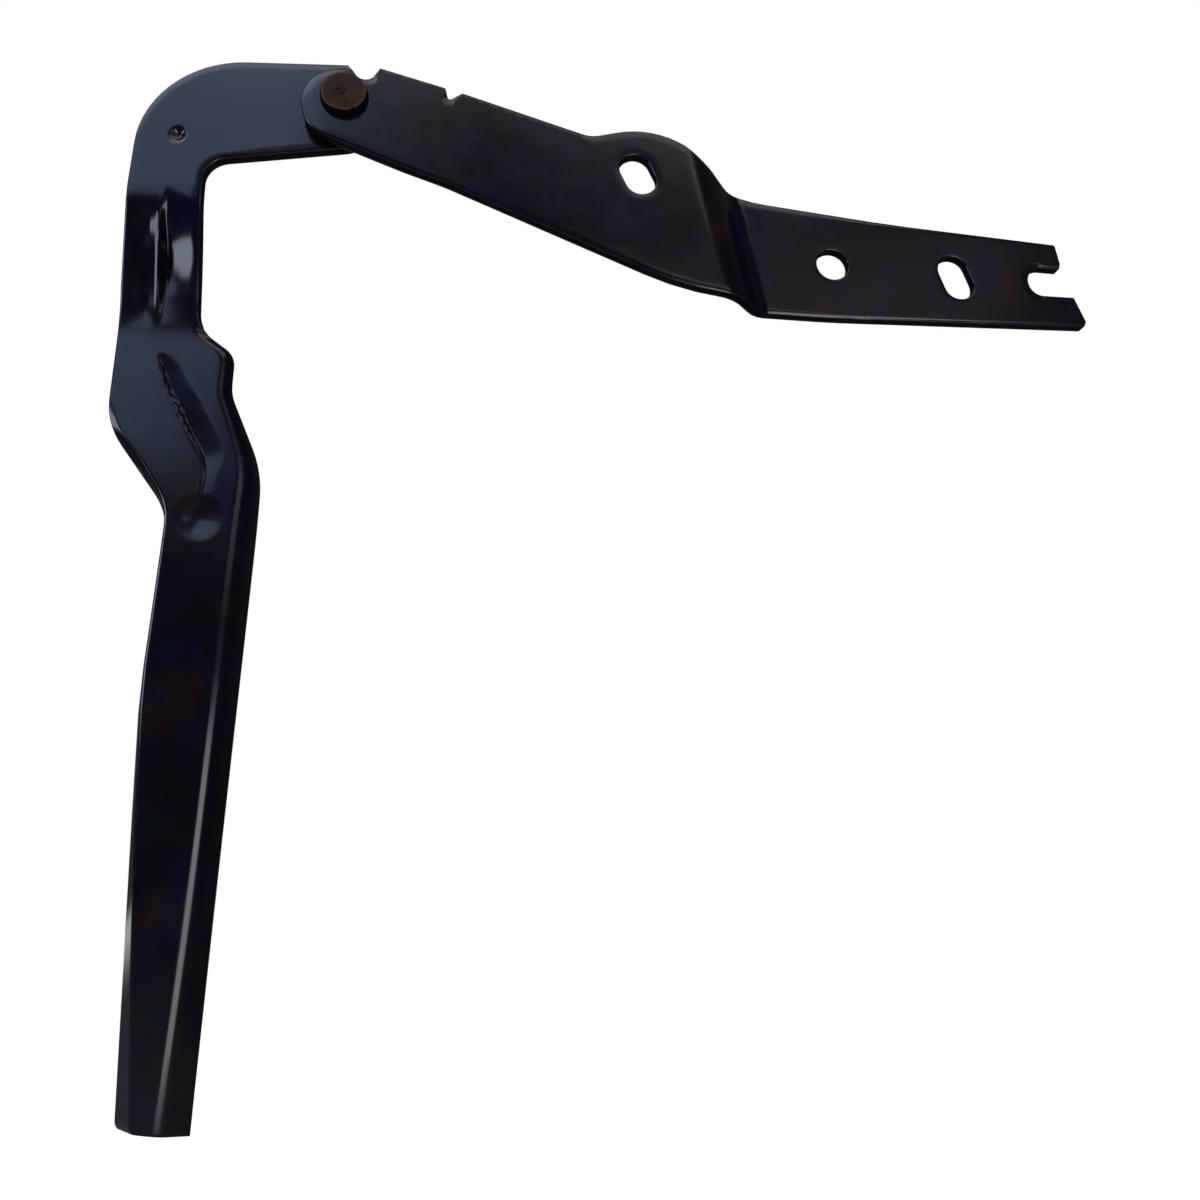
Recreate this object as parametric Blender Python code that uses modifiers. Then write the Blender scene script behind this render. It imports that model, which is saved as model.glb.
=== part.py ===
"""Bonnet hinge for a car: a body bracket and a gooseneck arm, both pressed from sheet, on one rivet.

Metres, +X right, +Z up, +Y away from the viewer. The pieces are drawn round the rivet's axis,
which runs along Y, and stand under an empty that puts the bracket's bolting face at the origin.
"""

from math import atan2, ceil, cos, hypot, pi, radians, sin, sqrt, tan

import bmesh
import bpy
from mathutils import Matrix, Vector

# Sheet and clearances
PLATE = 0.0032
CLEARANCE = 0.0003
TAB_BEHIND_RIVET = 0.0008

# Rivet, bush and washers
SHANK_RADIUS = 0.0040
HEAD_RADIUS = 0.0067
HEAD_HEIGHT = 0.0027
HEAD_ROUNDING = 0.0006
TAIL_RADIUS = 0.0058
TAIL_HEIGHT = 0.0018
TAIL_ROUNDING = 0.0009
BUSH_WALL = 0.0011
SPACER_RADIUS = 0.0088
SPACER_THICKNESS = 0.0010
BACKING_RADIUS = 0.0082
BACKING_THICKNESS = 0.0010

# Bracket: its round end, the ear with the first hole, the tab with two holes and a fork
END_RADIUS = 0.0116
END_DROP = 0.0020
END_RISE = 0.0015
END_FLAT = 0.0003
EAR_HOLE = (0.0825, -0.0173)
EAR_HOLE_WIDTH = 0.0090
EAR_HOLE_LENGTH = 0.0128
ROUND_HOLE = (0.1418, -0.0358)
ROUND_HOLE_DIAMETER = 0.0096
SLOT_HOLE = (0.1800, -0.0372)
SLOT_HOLE_WIDTH = 0.0093
SLOT_HOLE_LENGTH = 0.0142
EAR_HOLE_TILT = radians(25)
SLOT_HOLE_TILT = radians(19)
TAB_END = 0.2203
UPPER_PRONG_END = TAB_END - 0.0062
FORK_ROOT = TAB_END - 0.0172
FORK_LEVEL = -0.0364
FORK_GAP = 0.0093
FORK_ROUNDING = FORK_GAP / 2 - 0.0001
BEND_START = 0.0978
BEND_SLANT = 0.22
BEND_ANGLE = radians(47)
BEND_OUTER = 0.0050
BEND_INNER = 0.0026

# Stop tab, bent back from the bracket's top edge into the arm's way
STOP_LEFT = (0.0092, 0.0105)
STOP_RIGHT = (0.0276, 0.0058)
STOP_PAST_ARM = 0.0020
STOP_ROUNDING = 0.0016

# Gooseneck arm: upper limb, joggle, stiffening bead and flanged tongue
ARM_END = 0.0099
ARM_STOP_DISTANCE = 0.0079
ARM_STOP_ANGLE = radians(34)
ARM_JOGGLE = 0.0083
JOGGLE_TOP = -0.0270
JOGGLE_ANGLE = radians(14)
JOGGLE_RADIUS = 0.0350
FLANGE_RADIUS = 0.0048
FLANGE_LENGTH = 0.0042
FLANGE_START = -0.0680
FLANGE_FULL = -0.0900
FLANGE_ANGLE = radians(76)
TIP_ANGLE = radians(60)
TIP = -0.2628
TIP_SLANT = 0.12
TIP_SLANT_REACH = 0.0100

# Depths along Y, from the bracket's front face
SPACER_FRONT = PLATE + CLEARANCE
ARM_FRONT = SPACER_FRONT + SPACER_THICKNESS + CLEARANCE
ARM_BACK = ARM_FRONT + PLATE
STOP_DEPTH = ARM_BACK + STOP_PAST_ARM
BACKING_FRONT = ARM_BACK + CLEARANCE
TAIL_FRONT = BACKING_FRONT + BACKING_THICKNESS + CLEARANCE
TAIL_BACK = TAIL_FRONT + TAIL_HEIGHT
MOUNT_FACE = TAIL_BACK + TAB_BEHIND_RIVET
TAB_FRONT = MOUNT_FACE - PLATE
SHANK_HOLE = SHANK_RADIUS + CLEARANCE
BUSH_RADIUS = SHANK_HOLE + BUSH_WALL

# Where the rivet's axis lies when the middle of the two tab holes is the origin
AXIS_X = -(ROUND_HOLE[0] + SLOT_HOLE[0]) / 2
AXIS_Z = -(ROUND_HOLE[1] + SLOT_HOLE[1]) / 2

# How finely the shapes are stepped: arcs, turned bodies, holes and bends
ARC_STEP = radians(9)
TURNED_STEPS = 32
HOLE_STEPS = 16
OUTER_BEND_STEPS = 5
INNER_BEND_STEPS = 4
STOP_BEND_STEPS = 4

# Corners of the bracket, x and z, each with the radius of its rounding
BRACKET_CORNERS = [
    (-END_RADIUS, END_RADIUS - END_DROP, END_RADIUS - END_FLAT),
    (0.0014, END_RADIUS - END_DROP, 0.0004),
    (0.0054, 0.0041, 0.0030),
    (STOP_LEFT[0], STOP_LEFT[1] - STOP_ROUNDING, 0.0003),
    (STOP_RIGHT[0], STOP_RIGHT[1] - STOP_ROUNDING, 0.0003),
    (0.0286, 0.0019, 0.0008),
    (0.0324, 0.0048, 0.0010),
    (0.0690, -0.0060, 0.0090),
    (0.0885, -0.0003, 0.0250),
    (0.1062, -0.0158, 0.0290),
    (0.1600, -0.0206, 0.3000),
    (UPPER_PRONG_END - 0.0010, -0.0234, 0.0008),
    (UPPER_PRONG_END, -0.0296, 0.0008),
    (UPPER_PRONG_END - 0.0005, FORK_LEVEL + FORK_GAP / 2, 0.0005),
    (FORK_ROOT, FORK_LEVEL + FORK_GAP / 2, FORK_ROUNDING),
    (FORK_ROOT, FORK_LEVEL - FORK_GAP / 2, FORK_ROUNDING),
    (TAB_END - 0.0031, FORK_LEVEL - FORK_GAP / 2, 0.0005),
    (TAB_END, -0.0490, 0.0010),
    (TAB_END - 0.0009, -0.0508, 0.0010),
    (0.1400, -0.0534, 0.2000),
    (0.0985, -0.0531, 0.0800),
    (0.0285, -0.0246, 0.0400),
    (0.0170, -0.0208, 0.0300),
    (-END_RADIUS, END_RISE - END_RADIUS, END_RADIUS - END_FLAT),
]

# Corners of the arm, from the shoulder round the outside, the tip and back up the inside
ARM_CORNERS = [
    (ARM_END, 0.0157, 0.0040),
    (-0.0550, 0.0109, 0.0298),
    (-0.0567, -0.0560, 0.0400),
    (-0.0568, -0.0952, 0.0220),
    (-0.0411, -0.1168, 0.0160),
    (-0.0430, -0.1640, 0.1200),
    (-0.0374, TIP, 0.0025),
    (-0.0208, TIP, 0.0015),
    (-0.0179, -0.1047, 0.0320),
    (-0.0264, -0.0841, 0.0120),
    (-0.0263, -0.0727, 0.0045),
    (-0.0363, -0.0660, 0.0055),
    (-0.0366, -0.0200, 0.0070),
    (ARM_END, -0.0109, 0.0120),
]

# The line that the arm's cross sections follow, ending just inside the outline
SPINE_INSET = 0.0004
ARM_SPINE = [(ARM_END - SPINE_INSET, 0.0005, 0), (-0.0460, 0.0005, 0.0185), (-0.0460, -0.0640, 0.0200),
             (-0.0290, -0.1160, 0.0250), (-0.0292, TIP + SPINE_INSET, 0)]

# Cross sections: until this length along the spine, so many steps
ARM_SPANS = [(0.0050, 4), (0.0120, 4), (0.0260, 3), (0.0710, 12), (0.1140, 12), (0.1380, 14),
             (0.1780, 14), (0.3160, 14), (0.4000, 5)]
TURNING_REACH = 0.0040

# Points of half a cross section: shares of the web, then of the bend up to 2, then the edge
WEB_SHARES = [0.15, 0.3, 0.5, 0.75, 1]
BEND_SHARES = [1.25, 1.5, 1.75, 2]
EDGE_SHARE = 2.5

# A cutter's side, larger than the arm's end, and a reach past any edge
WASTE_SIZE = 0.0300
FAR_AWAY = 1.0000

# The bead pressed into the arm's front: x, z, depth and half width along its line
BEAD = [(-0.0460, -0.0100, 0.0000, 0.0050), (-0.0460, -0.0150, 0.0006, 0.0050),
        (-0.0460, -0.0300, 0.0008, 0.0070), (-0.0460, -0.0470, 0.0022, 0.0085),
        (-0.0460, -0.0650, 0.0009, 0.0070), (-0.0444, -0.0760, 0.0014, 0.0070),
        (-0.0385, -0.0920, 0.0027, 0.0080), (-0.0312, -0.1100, 0.0020, 0.0070),
        (-0.0310, -0.1200, 0.0008, 0.0055), (-0.0310, -0.1240, 0.0000, 0.0050)]


def blend(start, end, value):
    """Rises smoothly from 0 at start to 1 at end."""
    share = min(max((value - start) / (end - start), 0), 1)
    return share * share * (3 - 2 * share)


def fillet(before, corner, after, radius):
    """The points that round one corner, in the order before to after."""
    back = (before - corner).normalized()
    ahead = (after - corner).normalized()
    half = back.angle(ahead) / 2
    reach = radius / tan(half)
    centre = corner + (back + ahead).normalized() * (radius / sin(half))
    start = corner + back * reach - centre
    turn = pi - 2 * half
    side = 1 if back.cross(ahead) < 0 else -1
    steps = max(1, ceil(turn / ARC_STEP))
    return [centre + Matrix.Rotation(side * turn * step / steps, 2) @ start for step in range(steps + 1)]


def rounded(corners, closed=True):
    """The path through the corners, with each one rounded by its own radius."""
    spots = [Vector(corner[:2]) for corner in corners]
    path = []
    for index, (spot, corner) in enumerate(zip(spots, corners)):
        at_end = index in (0, len(corners) - 1)
        if corner[2] == 0 or (at_end and not closed):
            path.append(spot)
        else:
            path += fillet(spots[index - 1], spot, spots[(index + 1) % len(spots)], corner[2])
    return path


def reach_to(outline, point, direction):
    """How far the outline lies from the point, ahead and behind along the direction."""
    side = Vector((-direction.y, direction.x))
    ahead, behind = FAR_AWAY, -FAR_AWAY
    for start, end in zip(outline, outline[1:] + outline[:1]):
        from_line = (start - point).dot(side)
        to_line = (end - point).dot(side)
        if from_line * to_line > 0 or from_line == to_line:
            continue
        crossing = start.lerp(end, from_line / (from_line - to_line))
        distance = (crossing - point).dot(direction)
        if distance >= 0:
            ahead = min(ahead, distance)
        else:
            behind = max(behind, distance)
    return behind, ahead


def step_depth(distance, drop, angle, first, second):
    """Depth of a joggle at a distance past its start: a bend, a slope and a bend back."""
    slope_drop = drop - (first + second) * (1 - cos(angle))
    slope_end = first * sin(angle) + slope_drop / tan(angle)
    end = slope_end + second * sin(angle)
    if distance <= 0:
        return 0.0
    if distance < first * sin(angle):
        return first - sqrt(first * first - distance * distance)
    if distance < slope_end:
        return first * (1 - cos(angle)) + (distance - first * sin(angle)) * tan(angle)
    if distance < end:
        return drop - second + sqrt(second * second - (end - distance) ** 2)
    return drop


def step_length(drop, angle, first, second):
    """How long that joggle is, from its start to its end."""
    slope_drop = drop - (first + second) * (1 - cos(angle))
    return (first + second) * sin(angle) + slope_drop / tan(angle)


def spread(start, end, count):
    """Evenly spaced values from start up to, but not including, end."""
    return [start + (end - start) * index / count for index in range(count)]


def collection(name):
    made = bpy.data.collections.new(name)
    bpy.context.scene.collection.children.link(made)
    return made


def painted(name, colour, roughness, metallic):
    """A plain material in the colour of the real surface."""
    material = bpy.data.materials.new(name)
    material.use_nodes = True
    shader = material.node_tree.nodes["Principled BSDF"]
    shader.inputs["Base Color"].default_value = (*colour, 1)
    shader.inputs["Roughness"].default_value = roughness
    shader.inputs["Metallic"].default_value = metallic
    return material


def place(name, mesh, axis, material=None):
    """Puts a mesh on the rivet's axis, as a piece of the hinge or, with no material, as a cutter."""
    piece = bpy.data.objects.new(name, mesh)
    piece.parent = axis
    if material:
        mesh.materials.append(material)
        PIECES.objects.link(piece)
    else:
        CUTTERS.objects.link(piece)
        piece.hide_render = True
        piece.display_type = "WIRE"
    return piece


def thickened(piece):
    """Gives an open front face the plate's thickness, towards the back."""
    solid = piece.modifiers.new("Thickness", "SOLIDIFY")
    solid.thickness = PLATE
    solid.offset = -1
    solid.use_even_offset = True
    solid.use_quality_normals = True
    return piece


def sheet(name, stations, across, point_at, axis, material):
    """A pressed sheet: a grid laid over its front face by point_at, thickened towards the back."""
    mesh = bpy.data.meshes.new(name)
    grid = bmesh.new()
    long_steps, wide_steps = len(stations) - 1, len(across) - 1
    bmesh.ops.create_grid(grid, x_segments=long_steps, y_segments=wide_steps, size=1)
    for vertex in grid.verts:
        station = stations[round((vertex.co.x + 1) / 2 * long_steps)]
        share = across[round((vertex.co.y + 1) / 2 * wide_steps)]
        vertex.co = point_at(station, share)
    grid.to_mesh(mesh)
    grid.free()
    return thickened(place(name, mesh, axis, material))


def prism(name, outline, front, back, axis):
    """A cutter or filler: a flat outline in x and z, as deep as from front to back."""
    mesh = bpy.data.meshes.new(name)
    block = bmesh.new()
    corners = [block.verts.new((point.x, front, point.y)) for point in outline]
    face = block.faces.new(corners)
    grown = bmesh.ops.extrude_face_region(block, geom=[face])["geom"]
    moved = [item for item in grown if isinstance(item, bmesh.types.BMVert)]
    bmesh.ops.translate(block, verts=moved, vec=(0, back - front, 0))
    bmesh.ops.recalc_face_normals(block, faces=block.faces)
    block.to_mesh(mesh)
    block.free()
    return place(name, mesh, axis)


def stadium(centre, width, length, tilt=0.0):
    """The outline of a slot with round ends, its long axis tilted from upright."""
    half = (length - width) / 2
    skipped = 1 if half < CLEARANCE else 0
    points = []
    for end, first in ((1, 0), (-1, pi)):
        for step in range(HOLE_STEPS + 1 - skipped):
            angle = first + pi * step / HOLE_STEPS
            points.append(Vector((cos(angle), sin(angle))) * (width / 2) + Vector((0, end * half)))
    return [Matrix.Rotation(tilt, 2) @ point + Vector(centre) for point in points]


def combine(piece, other, operation):
    """Cuts a piece by another shape, or joins that shape to it."""
    change = piece.modifiers.new(other.name, "BOOLEAN")
    change.operation = operation
    change.solver = "EXACT"
    change.object = other


def turned(name, profile, axis, material):
    """A body turned about the rivet's axis. The profile gives radius and depth, the front end first."""
    mesh = bpy.data.meshes.new(name)
    path = bmesh.new()
    points = [path.verts.new((radius, 0, -depth)) for radius, depth in profile]
    for start, end in zip(points, points[1:]):
        path.edges.new((start, end))
    if profile[0][0] > 0:
        path.edges.new((points[-1], points[0]))
    path.to_mesh(mesh)
    path.free()
    piece = place(name, mesh, axis, material)
    piece.rotation_euler = (pi / 2, 0, 0)
    lathe = piece.modifiers.new("Turned", "SCREW")
    lathe.steps = TURNED_STEPS
    lathe.render_steps = TURNED_STEPS
    lathe.use_merge_vertices = True
    lathe.merge_threshold = 0.00001
    lathe.use_smooth_shade = True
    return piece


def ring(name, radius, front, thickness, axis, material):
    """A plain washer or sleeve on the rivet's shank."""
    back = front + thickness
    profile = [(radius, front), (radius, back), (SHANK_HOLE, back), (SHANK_HOLE, front)]
    return turned(name, profile, axis, material)


def bracket_creases():
    """Where the joggle's cross lines lie along the bracket: through its two bends, and none between."""
    length = step_length(TAB_FRONT, BEND_ANGLE, BEND_OUTER, BEND_INNER)
    first_end = BEND_START + BEND_OUTER * sin(BEND_ANGLE)
    end = BEND_START + length
    second_start = end - BEND_INNER * sin(BEND_ANGLE)
    first = spread(BEND_START, first_end, OUTER_BEND_STEPS) + [first_end]
    return first + spread(second_start, end, INNER_BEND_STEPS) + [end]


def creased_plate(name, outline, creases, slant, depth_at, axis, material):
    """A flat blank with the outline, bent back along slanted creases and thickened towards the back."""
    mesh = bpy.data.meshes.new(name)
    blank = bmesh.new()
    blank.faces.new([blank.verts.new((point.x, 0, point.y)) for point in reversed(outline)])
    for crease in creases:
        everything = blank.verts[:] + blank.edges[:] + blank.faces[:]
        bmesh.ops.bisect_plane(blank, geom=everything, plane_co=(crease, 0, 0), plane_no=(1, 0, slant))
    for vertex in blank.verts:
        vertex.co.y = depth_at(vertex.co.x + slant * vertex.co.z)
    blank.to_mesh(mesh)
    blank.free()
    return thickened(place(name, mesh, axis, material))


def stop_tab(axis):
    """The stop: a strip along the top edge, bent straight back, with a rounded bend."""
    left, right = Vector(STOP_LEFT), Vector(STOP_RIGHT)
    angle = atan2(right.y - left.y, right.x - left.x)
    profile = [Vector((0, -PLATE)), Vector((STOP_DEPTH, -PLATE)), Vector((STOP_DEPTH, 0))]
    for step in range(STOP_BEND_STEPS + 1):
        turn = pi / 2 * step / STOP_BEND_STEPS
        profile.append(Vector((STOP_ROUNDING * (1 - sin(turn)), -STOP_ROUNDING * (1 - cos(turn)))))
    strip = prism("stop_tab", profile, 0, -(right - left).length, axis)
    strip.rotation_euler = (-angle, 0, pi / 2)
    strip.location = (left.x, 0, left.y)
    return strip


def make_bracket(axis, paint):
    """The body bracket: a flat end on the rivet, a joggle back and a forked bolting tab."""
    def depth_at(station):
        return step_depth(station - BEND_START, TAB_FRONT, BEND_ANGLE, BEND_OUTER, BEND_INNER)

    outline = rounded(BRACKET_CORNERS)
    bracket = creased_plate("bracket", outline, bracket_creases(), BEND_SLANT, depth_at, axis, paint)
    combine(bracket, stop_tab(axis), "UNION")
    through = {
        "rivet_hole": stadium((0, 0), SHANK_HOLE * 2, SHANK_HOLE * 2),
        "ear_hole": stadium(EAR_HOLE, EAR_HOLE_WIDTH, EAR_HOLE_LENGTH, EAR_HOLE_TILT),
        "round_hole": stadium(ROUND_HOLE, ROUND_HOLE_DIAMETER, ROUND_HOLE_DIAMETER),
        "slot_hole": stadium(SLOT_HOLE, SLOT_HOLE_WIDTH, SLOT_HOLE_LENGTH, SLOT_HOLE_TILT),
    }
    for name, shape in through.items():
        combine(bracket, prism(name, shape, -PLATE, MOUNT_FACE + PLATE, axis), "DIFFERENCE")
    return bracket


def spine_stations(path, spans):
    """Points and directions along a path, at a chosen number of steps over each stretch of its length."""
    lengths = [0.0]
    for start, end in zip(path, path[1:]):
        lengths.append(lengths[-1] + (end - start).length)
    wanted = []
    begun = 0.0
    for until, count in spans:
        stop = min(until, lengths[-1])
        wanted += spread(begun, stop, count)
        begun = stop
    wanted.append(begun)
    found = []
    for distance in wanted:
        index = max(i for i in range(len(path) - 1) if lengths[i] <= distance + 1e-9)
        share = (distance - lengths[index]) / (lengths[index + 1] - lengths[index])
        found.append((path[index].lerp(path[index + 1], share), direction_at(path, lengths, distance)))
    return found


def direction_at(path, lengths, distance):
    """The path's direction, averaged over a few millimetres so that it turns smoothly."""
    ends = []
    for spot in (distance - TURNING_REACH, distance + TURNING_REACH):
        kept = min(max(spot, 0), lengths[-1])
        index = max(i for i in range(len(path) - 1) if lengths[i] <= kept + 1e-9)
        share = (kept - lengths[index]) / (lengths[index + 1] - lengths[index])
        ends.append(path[index].lerp(path[index + 1], share))
    return (ends[1] - ends[0]).normalized()


def bead_depth(spot):
    """How deep the stiffening bead presses in at a spot."""
    nearest, depth = 1.0, 0.0
    for (x0, z0, deep0, wide0), (x1, z1, deep1, wide1) in zip(BEAD, BEAD[1:]):
        along = Vector((x1 - x0, z1 - z0))
        share = min(max((spot - Vector((x0, z0))).dot(along) / along.length_squared, 0), 1)
        away = hypot(spot.x - x0 - along.x * share, spot.y - z0 - along.y * share)
        if away < nearest:
            nearest = away
            wide = wide0 + (wide1 - wide0) * share
            depth = (deep0 + (deep1 - deep0) * share) * (1 - blend(0, wide, away))
    return depth


def make_arm(axis, paint):
    """The gooseneck arm: a limb from the rivet round to a long tongue with both edges bent back."""
    outline = rounded(ARM_CORNERS)
    path = rounded(ARM_SPINE, closed=False)
    stations = spine_stations(path, ARM_SPANS)
    half = WEB_SHARES + BEND_SHARES + [EDGE_SHARE]
    across = [-share for share in reversed(half)] + [0] + half

    def point_at(station, share):
        centre, ahead = station
        aside = Vector((-ahead.y, ahead.x))
        low, high = reach_to(outline, centre, aside)
        angle = FLANGE_ANGLE * blend(FLANGE_START, FLANGE_FULL, centre.y)
        angle -= (FLANGE_ANGLE - TIP_ANGLE) * blend(FLANGE_FULL, TIP, centre.y)
        curl = FLANGE_RADIUS * sin(angle)
        straight = FLANGE_LENGTH * cos(angle)
        turn = angle * min(max(abs(share) - 1, 0), 1)
        beyond = max(abs(share) - 2, 0) / (EDGE_SHARE - 2)
        edge = high if share > 0 else -low
        flat = edge - curl - straight
        if angle == 0:
            lateral = flat * min(abs(share), 1) + straight * max(abs(share) - 1, 0) / (EDGE_SHARE - 1)
        else:
            lateral = flat * min(abs(share), 1) + FLANGE_RADIUS * sin(turn) + straight * beyond
        back = FLANGE_RADIUS * (1 - cos(turn)) + FLANGE_LENGTH * sin(angle) * beyond
        spot = centre + aside * (lateral if share > 0 else -lateral)
        joggle = step_depth(JOGGLE_TOP - spot.y, ARM_JOGGLE, JOGGLE_ANGLE, JOGGLE_RADIUS, JOGGLE_RADIUS)
        drop = TIP_SLANT * (spot.x - centre.x) * blend(TIP + TIP_SLANT_REACH, TIP, centre.y)
        return Vector((spot.x, ARM_FRONT + joggle + bead_depth(spot) + back, spot.y - drop))

    arm = sheet("gooseneck_arm", stations, across, point_at, axis, paint)
    normal = Vector((cos(ARM_STOP_ANGLE), sin(ARM_STOP_ANGLE)))
    along = Vector((-normal.y, normal.x))
    foot = normal * ARM_STOP_DISTANCE
    corners = [(1, 0), (-1, 0), (-1, 1), (1, 1)]
    waste = [foot + along * WASTE_SIZE * side + normal * WASTE_SIZE * out for side, out in corners]
    combine(arm, prism("arm_stop_face", waste, 0, MOUNT_FACE, axis), "DIFFERENCE")
    bush_hole = BUSH_RADIUS + CLEARANCE
    bore = prism("bush_hole", stadium((0, 0), bush_hole * 2, bush_hole * 2), 0, MOUNT_FACE, axis)
    combine(arm, bore, "DIFFERENCE")
    return arm


def make_rivet(axis, steel):
    """The pivot rivet: a raised round head in front, a shank and a peened tail behind."""
    front = -CLEARANCE - HEAD_HEIGHT
    return turned("pivot_rivet", [
        (0, front),
        (HEAD_RADIUS - HEAD_ROUNDING, front),
        (HEAD_RADIUS, front + HEAD_ROUNDING),
        (HEAD_RADIUS, -CLEARANCE),
        (SHANK_RADIUS, -CLEARANCE),
        (SHANK_RADIUS, TAIL_FRONT),
        (TAIL_RADIUS, TAIL_FRONT),
        (TAIL_RADIUS, TAIL_BACK - TAIL_ROUNDING),
        (TAIL_RADIUS - TAIL_ROUNDING, TAIL_BACK),
        (0, TAIL_BACK),
    ], axis, steel)


for old in list(bpy.data.objects):
    bpy.data.objects.remove(old)
PIECES = collection("bonnet_hinge")
CUTTERS = collection("cutters")

rivet_axis = bpy.data.objects.new("rivet_axis", None)
rivet_axis.location = (AXIS_X, -MOUNT_FACE, AXIS_Z)
PIECES.objects.link(rivet_axis)

black_paint = painted("black_paint", (0.018, 0.018, 0.021), 0.30, 0.0)
rivet_steel = painted("painted_rivet_steel", (0.035, 0.030, 0.027), 0.35, 0.3)
plated_steel = painted("plated_steel", (0.42, 0.41, 0.39), 0.35, 1.0)
bush_bronze = painted("bush_bronze", (0.38, 0.25, 0.13), 0.40, 1.0)

make_bracket(rivet_axis, black_paint)
make_arm(rivet_axis, black_paint)
make_rivet(rivet_axis, rivet_steel)
ring("pivot_bush", BUSH_RADIUS, ARM_FRONT, PLATE, rivet_axis, bush_bronze)
ring("spacer_washer", SPACER_RADIUS, SPACER_FRONT, SPACER_THICKNESS, rivet_axis, plated_steel)
ring("backing_washer", BACKING_RADIUS, BACKING_FRONT, BACKING_THICKNESS, rivet_axis, plated_steel)
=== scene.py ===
"""The looks of a car's bonnet hinge: a body bracket and a gooseneck arm on one rivet.

Metres, +X right, +Z up, +Y away from the viewer. The sheets and turned pieces are drawn round the
rivet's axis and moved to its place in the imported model.
"""

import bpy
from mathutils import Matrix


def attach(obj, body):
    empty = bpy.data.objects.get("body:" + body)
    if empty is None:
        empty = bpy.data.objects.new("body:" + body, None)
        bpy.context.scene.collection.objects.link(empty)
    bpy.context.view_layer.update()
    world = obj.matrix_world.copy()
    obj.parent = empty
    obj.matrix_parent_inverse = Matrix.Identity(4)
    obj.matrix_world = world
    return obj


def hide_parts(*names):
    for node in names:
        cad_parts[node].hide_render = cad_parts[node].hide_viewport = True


bl_info = {
    "name": "Bonnet hinge",
    "version": (1, 0, 0),
    "blender": (4, 5, 0),
    "location": "3D View > Sidebar > Hinge",
    "description": "Builds a painted bonnet hinge and its studio",
    "category": "Object",
}

from math import atan2, ceil, cos, hypot, pi, radians, sin, sqrt, tan

import bmesh
import bpy
from bpy.props import FloatProperty, FloatVectorProperty, PointerProperty
from mathutils import Matrix, Vector

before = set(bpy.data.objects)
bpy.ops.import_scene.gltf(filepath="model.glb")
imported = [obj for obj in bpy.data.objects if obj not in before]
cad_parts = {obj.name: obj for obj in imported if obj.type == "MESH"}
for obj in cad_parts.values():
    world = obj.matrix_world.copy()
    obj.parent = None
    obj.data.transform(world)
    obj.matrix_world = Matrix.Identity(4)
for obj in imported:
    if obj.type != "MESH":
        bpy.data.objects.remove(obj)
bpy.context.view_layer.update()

# Sheet and clearances
PLATE = 0.0032
CLEARANCE = 0.0003
TAB_BEHIND_RIVET = 0.0008

# Differences smaller than these count as none
TINY = 1e-9
NEAR = 0.000001

# Rivet. A face of its head that turns to the front by less than HEAD_STEEPNESS is its side, which takes
# the black sheared-edge paint as painted shade.
SHANK_RADIUS = 0.0040
HEAD_RADIUS = 0.0067
HEAD_HEIGHT = 0.0022
HEAD_LIP = 0.0014
HEAD_TAPER = 0.0006
HEAD_CROWN = 0.00015
HEAD_STEEPNESS = 0.6
TAIL_RADIUS = 0.0058
TAIL_HEIGHT = 0.0018

# Bush and washers
BUSH_WALL = 0.0011
SPACER_RADIUS = 0.0088
SPACER_THICKNESS = 0.0010
BACKING_RADIUS = 0.0082
BACKING_THICKNESS = 0.0010
RING_ROUNDING = 0.0002
BORE_ROUNDING = 0.0001

# The uneven lip of the head: two waves round it, each with its count, start and share, and one nick
LIP_WAVES = [(5, 1, 1.0), (11, 0, 0.6)]
LIP_WAVE_HEIGHT = 0.00005
NICK_TURN = radians(-62)
NICK_REACH = radians(9)
NICK_DEPTH = 0.00035

# Bracket: its round end, the ear with the first hole, the tab with two holes and a fork
END_RADIUS = 0.0116
END_DROP = 0.0020
END_RISE = 0.0015
END_FLAT = 0.0003
EAR_HOLE = (0.0825, -0.0173)
EAR_HOLE_WIDTH = 0.0090
EAR_HOLE_LENGTH = 0.0128
EAR_HOLE_TILT = radians(25)
ROUND_HOLE = (0.1418, -0.0358)
ROUND_HOLE_DIAMETER = 0.0096
SLOT_HOLE = (0.1800, -0.0372)
SLOT_HOLE_WIDTH = 0.0093
SLOT_HOLE_LENGTH = 0.0142
SLOT_HOLE_TILT = radians(19)
TAB_END = 0.2203
UPPER_PRONG_END = TAB_END - 0.0062
FORK_ROOT = TAB_END - 0.0172
FORK_LEVEL = -0.0364
FORK_GAP = 0.0093
FORK_ROUNDING = FORK_GAP / 2 - 0.0001
BEND_START = 0.0945
BEND_SLANT = 0.22
BEND_ANGLE = radians(47)
BEND_OUTER = 0.0120
BEND_INNER = 0.0060

# Stop tab, bent back from the bracket's top edge
STOP_LEFT = (0.0092, 0.0105)
STOP_RIGHT = (0.0276, 0.0058)
STOP_PAST_ARM = 0.0020
STOP_TUCK = 0.0012
STOP_INSET = 0.0002

# Gooseneck arm. Its joggle steps back by ARM_JOGGLE, and its left flange comes in between
# LEFT_START and LEFT_FULL. A sheared edge that is bent back by UNROLLED or more has no roll.
ARM_END = 0.0099
ARM_STOP_DISTANCE = 0.0079
ARM_STOP_ANGLE = radians(34)
ARM_JOGGLE = 0.0083
JOGGLE_TOP = -0.0270
JOGGLE_ANGLE = radians(14)
JOGGLE_RADIUS = 0.0350
JOGGLE_END_RADIUS = 0.0550
LEFT_START = -0.0800
LEFT_FULL = -0.1100
LEFT_CORNER = 0.0010
UNROLLED = radians(50)
TIP = -0.2656
TIP_SLANT = 0.12
TIP_SLANT_REACH = 0.0100
TIP_LEAN = 0.12

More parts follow.
